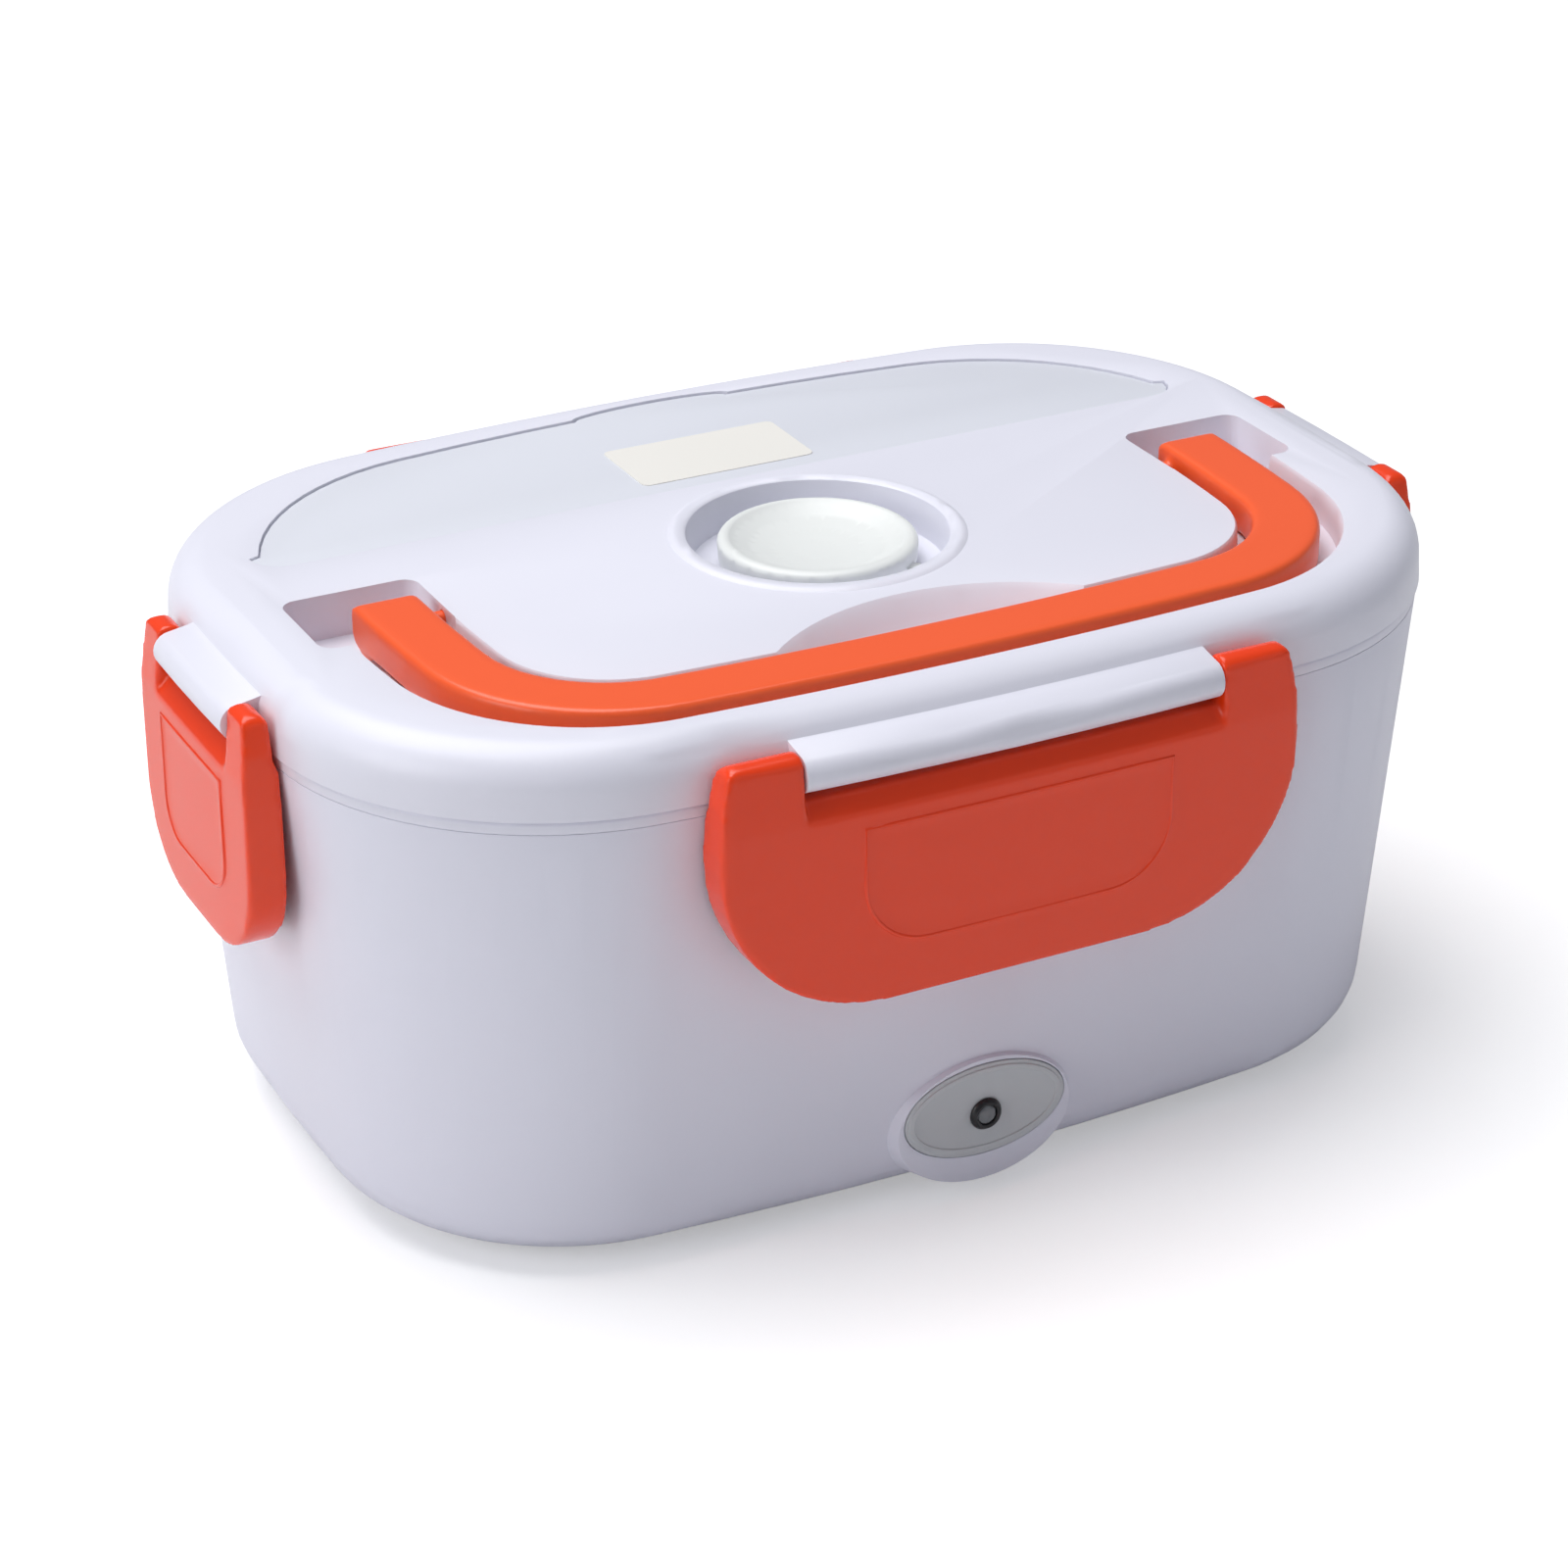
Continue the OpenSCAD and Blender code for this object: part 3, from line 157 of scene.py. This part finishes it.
def frosted(name, colour, rough, clear):
    """A plastic that lets a share of the light through, given by clear."""
    material, nodes, links, shader, place = new_material(name)
    mottled_colour(nodes, links, place, shader, colour, scale=12, spread=0.01)
    varied_roughness(nodes, links, place, shader, rough, scale=50, spread=0.03)
    fine_bump(nodes, links, place, shader, scale=700, strength=0.05)
    shader.inputs["Transmission Weight"].default_value = clear
    shader.inputs["IOR"].default_value = FROSTED_IOR
    return material


white_shell = plastic("white_shell_plastic", (0.80, 0.80, 0.90), 0.38)
white_lid = plastic("white_lid_plastic", (0.82, 0.82, 0.91), 0.36)
white_liner = plastic("white_liner_plastic", (0.80, 0.80, 0.89), 0.4)
orange_handle = plastic("orange_handle_plastic", (0.98, 0.125, 0.03), 0.3)
orange_latch = plastic("orange_latch_plastic", (0.94, 0.055, 0.006), 0.24)
cap_white = plastic("cap_white_plastic", (0.84, 0.86, 0.84), 0.35)
cover_frosted = frosted("cover_frosted_plastic", (0.84, 0.86, 0.93), 0.3, clear=0.12)
tray_clear = frosted("tray_clear_plastic", (0.8, 0.83, 0.9), 0.35, clear=0.4)
grey_base = plastic("grey_base_plastic", (0.36, 0.37, 0.40), 0.5, grain=0.05)
panel_grey = plastic("panel_grey_plastic", (0.58, 0.60, 0.62), 0.4, grain=0.03)
black_plastic = plastic("black_plastic", (0.012, 0.012, 0.014), 0.32)
rubber_dark = plastic("foot_rubber", (0.02, 0.02, 0.022), 0.7, grain=0.1)
rubber_pale = plastic("seal_rubber", (0.55, 0.56, 0.58), 0.55, grain=0.05)
steel = metal("brushed_steel", (0.62, 0.63, 0.65), 0.3, BRUSHED)
dull_metal = metal("satin_metal", (0.66, 0.66, 0.67), 0.42)
brass = metal("brass", (0.66, 0.5, 0.22), 0.3)
board_green = plastic("board_green", (0.02, 0.10, 0.03), 0.35)
lens_dark = plastic("lens_dark", (0.18, 0.19, 0.20), 0.12)
label_paper = plastic("label_paper", (0.83, 0.81, 0.76), 0.6, grain=0.01)


# Pieces made from the frame's own parts
EDGE_ANGLE = math.radians(32)
EDGE_SEGMENTS = 3
JOIN_DISTANCE = 0.004 * MM
FLAT_ANGLE = math.radians(0.4)
WEAR_FACTOR = 0.5


def only(piece):
    bpy.ops.object.select_all(action="DESELECT")
    piece.select_set(True)
    bpy.context.view_layer.objects.active = piece


def finish_piece(piece, body, material, stands_for=()):
    piece.data.materials.clear()
    piece.data.materials.append(material)
    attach(piece, body)
    if stands_for:
        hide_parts(*stands_for)


def smooth(piece):
    only(piece)
    bpy.ops.object.shade_smooth_by_angle(angle=EDGE_ANGLE)


def soften(piece, width):
    """Rounds every edge that is sharper than the edge angle."""
    only(piece)
    bevel = piece.modifiers.new("rounded edges", "BEVEL")
    bevel.width = width
    bevel.segments = EDGE_SEGMENTS
    bevel.limit_method = "ANGLE"
    bevel.angle_limit = EDGE_ANGLE
    bpy.ops.object.modifier_apply(modifier=bevel.name)


def merged_copy(node, name, flatten=True):
    """A copy of a frame part with its loose triangles joined, and flat ones made one face."""
    piece = bpy.data.objects.new(name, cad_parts[node].data.copy())
    bpy.context.scene.collection.objects.link(piece)
    only(piece)
    bpy.ops.object.mode_set(mode="EDIT")
    bpy.ops.mesh.select_all(action="SELECT")
    bpy.ops.mesh.remove_doubles(threshold=JOIN_DISTANCE)
    if flatten:
        bpy.ops.mesh.dissolve_limited(angle_limit=FLAT_ANGLE)
    bpy.ops.object.mode_set(mode="OBJECT")
    return piece


def rounded_part(node, body, material, slot, width):
    """A copy whose edges are given a round of this width in mm."""
    piece = merged_copy(node, node + "_rounded")
    soften(piece, width * MM)
    smooth(piece)
    finish_piece(piece, body, material, [node])


def turned_part(node, body, material):
    """A round part keeps its own triangles, which dissolving would tear; shading smooths it."""
    piece = merged_copy(node, node + "_smooth", flatten=False)
    smooth(piece)
    finish_piece(piece, body, material, [node])


def moulded_part(node, body, material, grid, rounds):
    """A copy with an even skin of this grid in mm, its edges then worn soft all over."""
    piece = merged_copy(node, node + "_moulded", flatten=False)
    skin = piece.modifiers.new("even skin", "REMESH")
    skin.mode = "VOXEL"
    skin.voxel_size = grid * MM
    bpy.ops.object.modifier_apply(modifier=skin.name)
    wear = piece.modifiers.new("soft edges", "SMOOTH")
    wear.factor = WEAR_FACTOR
    wear.iterations = rounds
    bpy.ops.object.modifier_apply(modifier=wear.name)
    only(piece)
    bpy.ops.object.shade_smooth()
    finish_piece(piece, body, material, [node])


def painted(node, material):
    """A frame part that is shown as it is, in this material."""
    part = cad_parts[node]
    part.data.materials.clear()
    part.data.materials.append(material)


# Raised line on a latch's face: a rounded outline on the bowed face, of round section (mm)
LATCH_TURN = {"front": 0, "rear": 180, "left": -90, "right": 90}
LINE_TOP = 86.3
LINE_LOW = 63.5
LINE_RADIUS = 0.4
LINE_SINK = 0.05
LINE_ROUNDNESS = 3
CORNER_STEPS = 10
TOP_STEPS = 12
CREASE_HEIGHT = 89.5
LATCH_LOW = 53
FACE_AT_CREASE = 6.4
FACE_AT_LOW = 6.8


def rounded_outline(half_width, low, top, corner):
    """Points down one side, round both lower corners and up the other side."""
    points = [(half_width, top), (half_width, low + corner)]
    for i in range(1, CORNER_STEPS + 1):
        angle = math.radians(90 * i / CORNER_STEPS)
        points.append((half_width - corner + corner * math.cos(angle),
                       low + corner - corner * math.sin(angle)))
    for i in range(CORNER_STEPS + 1):
        angle = math.radians(90 * i / CORNER_STEPS)
        points.append((-half_width + corner - corner * math.sin(angle),
                       low + corner - corner * math.cos(angle)))
    points.append((-half_width, top))
    return points


def face_depth(x, z, bow_radius):
    """How far a latch's face stands out from the case at this point."""
    slant = (CREASE_HEIGHT - z) / (CREASE_HEIGHT - LATCH_LOW)
    face = FACE_AT_CREASE + (FACE_AT_LOW - FACE_AT_CREASE) * slant
    sag = bow_radius - math.sqrt(bow_radius ** 2 - x ** 2)
    return face - sag


def panel_line(side, half_width, corner, case_half, bow_radius):
    name = "latch_" + side + "_line"
    turn = Matrix.Rotation(math.radians(LATCH_TURN[side]), 4, "Z")
    data = bpy.data.curves.new(name, "CURVE")
    data.dimensions = "3D"
    data.bevel_depth = LINE_RADIUS * MM
    data.bevel_resolution = LINE_ROUNDNESS
    points = rounded_outline(half_width, LINE_LOW, LINE_TOP, corner)
    points += [(half_width * (2 * i / TOP_STEPS - 1), LINE_TOP) for i in range(1, TOP_STEPS)]
    line = data.splines.new("POLY")
    line.points.add(len(points) - 1)
    line.use_cyclic_u = True
    for point, (x, z) in zip(line.points, points):
        out = case_half + face_depth(x, z, bow_radius) - LINE_SINK
        place = turn @ Vector((x, -out, z))
        point.co = (*(place * MM), 1)
    piece = bpy.data.objects.new(name, data)
    bpy.context.scene.collection.objects.link(piece)
    only(piece)
    bpy.ops.object.convert(target="MESH")
    piece = bpy.context.object
    bpy.ops.object.shade_smooth()
    finish_piece(piece, side + "_latch", orange_latch)


# Blank label stuck on the cutlery cover (mm)
LABEL_LENGTH = 36
LABEL_DEPTH = 19
LABEL_CORNER = 1.5
LABEL_CORNER_STEPS = 6
LABEL_WALL = 0.15
LABEL_PLACE = (-0.5, 37.2)


def add_label():
    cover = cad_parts["cutlery_cover"]
    cover_top = max(vertex.co.z for vertex in cover.data.vertices)
    bpy.ops.object.select_all(action="DESELECT")
    bpy.ops.mesh.primitive_plane_add(size=1, location=(0, 0, 0))
    piece = bpy.context.object
    piece.name = "blank_label"
    bpy.ops.object.mode_set(mode="EDIT")
    bpy.ops.mesh.select_all(action="SELECT")
    bpy.ops.transform.resize(value=(LABEL_LENGTH * MM, LABEL_DEPTH * MM, 1))
    bpy.ops.transform.translate(value=(LABEL_PLACE[0] * MM, LABEL_PLACE[1] * MM, cover_top))
    bpy.ops.mesh.bevel(offset=LABEL_CORNER * MM, segments=LABEL_CORNER_STEPS, affect="VERTICES")
    bpy.ops.mesh.select_all(action="SELECT")
    bpy.ops.mesh.extrude_region_move(
        TRANSFORM_OT_translate={"value": (0, 0, LABEL_WALL * MM)})
    bpy.ops.mesh.select_all(action="SELECT")
    bpy.ops.mesh.normals_make_consistent(inside=False)
    bpy.ops.object.mode_set(mode="OBJECT")
    smooth(piece)
    finish_piece(piece, "cover", label_paper)


# Studio: name, place and size in metres, and power of each light
LIGHT_TARGET = (0, 0, 50 * MM)
LIGHTS = (
    ("overhead", (-0.25, 0.35, 1.5), 1.3, 21.5),
    ("left_window", (-1.7, -0.2, 0.8), 1.0, 8),
    ("front_fill", (0.7, -1.7, 0.7), 1.2, 1.2),
)
WHITE = (1, 1, 1, 1)
ROOM_COLOUR = (0.86, 0.89, 1.0, 1)
ROOM_STRENGTH = 0.23
FLOOR_SIZE = 12
FLOOR_COLOUR = (0.9, 0.9, 0.9)
FLOOR_ROUGHNESS = 0.8
FLOOR_GLOW = 0.35


def area_light(name, place, size, power):
    data = bpy.data.lights.new(name, "AREA")
    data.shape = "SQUARE"
    data.size = size
    data.energy = power
    lamp = bpy.data.objects.new(name, data)
    bpy.context.scene.collection.objects.link(lamp)
    lamp.location = place
    aim = Vector(LIGHT_TARGET) - Vector(place)
    lamp.rotation_euler = aim.to_track_quat("-Z", "Y").to_euler()


def add_world():
    """A dim bluish room for the light it gives, and plain white where the camera sees it."""
    world = bpy.data.worlds.new("studio")
    bpy.context.scene.world = world
    world.use_nodes = True
    nodes, links = world.node_tree.nodes, world.node_tree.links
    room = nodes["Background"]
    room.inputs["Color"].default_value = ROOM_COLOUR
    room.inputs["Strength"].default_value = ROOM_STRENGTH
    seen = nodes.new("ShaderNodeBackground")
    seen.inputs["Color"].default_value = WHITE
    seen.inputs["Strength"].default_value = 1
    path = nodes.new("ShaderNodeLightPath")
    mix = nodes.new("ShaderNodeMixShader")
    links.new(path.outputs["Is Camera Ray"], mix.inputs["Fac"])
    links.new(room.outputs["Background"], mix.inputs[1])
    links.new(seen.outputs["Background"], mix.inputs[2])
    links.new(mix.outputs["Shader"], nodes["World Output"].inputs["Surface"])


def add_floor():
    """A pale floor that is lifted towards white for the camera only."""
    bpy.ops.object.select_all(action="DESELECT")
    bpy.ops.mesh.primitive_plane_add(size=FLOOR_SIZE, location=(0, 0, 0))
    floor = bpy.context.object
    floor.name = "floor"
    material, nodes, links, shader, place = new_material("pale_floor")
    mottled_colour(nodes, links, place, shader, FLOOR_COLOUR, scale=2, spread=0.01)
    shader.inputs["Roughness"].default_value = FLOOR_ROUGHNESS
    lift = nodes.new("ShaderNodeEmission")
    lift.inputs["Color"].default_value = WHITE
    path = nodes.new("ShaderNodeLightPath")
    amount = nodes.new("ShaderNodeMath")
    amount.operation = "MULTIPLY"
    amount.inputs[1].default_value = FLOOR_GLOW
    add = nodes.new("ShaderNodeAddShader")
    links.new(path.outputs["Is Camera Ray"], amount.inputs[0])
    links.new(amount.outputs["Value"], lift.inputs["Strength"])
    links.new(shader.outputs["BSDF"], add.inputs[0])
    links.new(lift.outputs["Emission"], add.inputs[1])
    links.new(add.outputs["Shader"], nodes["Material Output"].inputs["Surface"])
    floor.data.materials.append(material)


bpy.context.scene.view_settings.view_transform = "Standard"
add_camera()
for light in LIGHTS:
    area_light(*light)
add_world()
add_floor()

# Tub, liner, base and trays: node, body, material, slot, width of the round in mm
for row in (
    ("body_shell", "base", white_shell, "white_shell", 0.6),
    ("inner_liner", "base", white_liner, "white_liner", 0.3),
    ("base_cover", "base", grey_base, "grey_base", 0.3),
    ("power_inlet", "base", black_plastic, "black_plastic", 0.3),
    ("lamp_panel", "base", panel_grey, "panel_grey", 0.15),
    ("lamp_bezel", "base", black_plastic, "black_plastic", 0.1),
    ("lamp_lens", "base", lens_dark, "lens_dark", 0.1),
    ("food_tray", "food_tray_body", steel, "tray_steel", 0.3),
    ("side_tray", "side_tray_body", tray_clear, "tray_clear", 0.4),
):
    rounded_part(*row)

# Lid and what is on it
rounded_part("lid_shell", "lid", white_lid, "white_lid", 0.5)
rounded_part("lid_inner_panel", "lid", white_liner, "white_liner", 0.4)
turned_part("vent_cap", "vent", cap_white)
rounded_part("cutlery_cover", "cover", cover_frosted, "cover_frosted", 0.35)
add_label()
moulded_part("handle", "handle_body", orange_handle, grid=0.55, rounds=6)
for side in ("front", "rear", "left", "right"):
    moulded_part("latch_" + side, side + "_latch", orange_latch,
                 grid=0.5, rounds=8)
for side in ("front", "rear"):
    panel_line(side, half_width=30, corner=12, case_half=76, bow_radius=1600)
for side in ("left", "right"):
    panel_line(side, half_width=15, corner=7.2, case_half=113, bow_radius=1400)

# Small parts that keep the frame's own shape
for node, material in (
    ("screw_posts", white_liner),
    ("feet", rubber_dark),
    ("base_screws", steel),
    ("heater_plate", dull_metal),
    ("ptc_heater", dull_metal),
    ("heater_clamp", steel),
    ("clamp_screws", steel),
    ("thermostat", dull_metal),
    ("thermal_fuse", brass),
    ("inlet_pins", brass),
    ("lamp_board", board_green),
    ("lid_seal", rubber_pale),
    ("vent_seal", rubber_pale),
):
    painted(node, material)

bpy.context.view_layer.update()
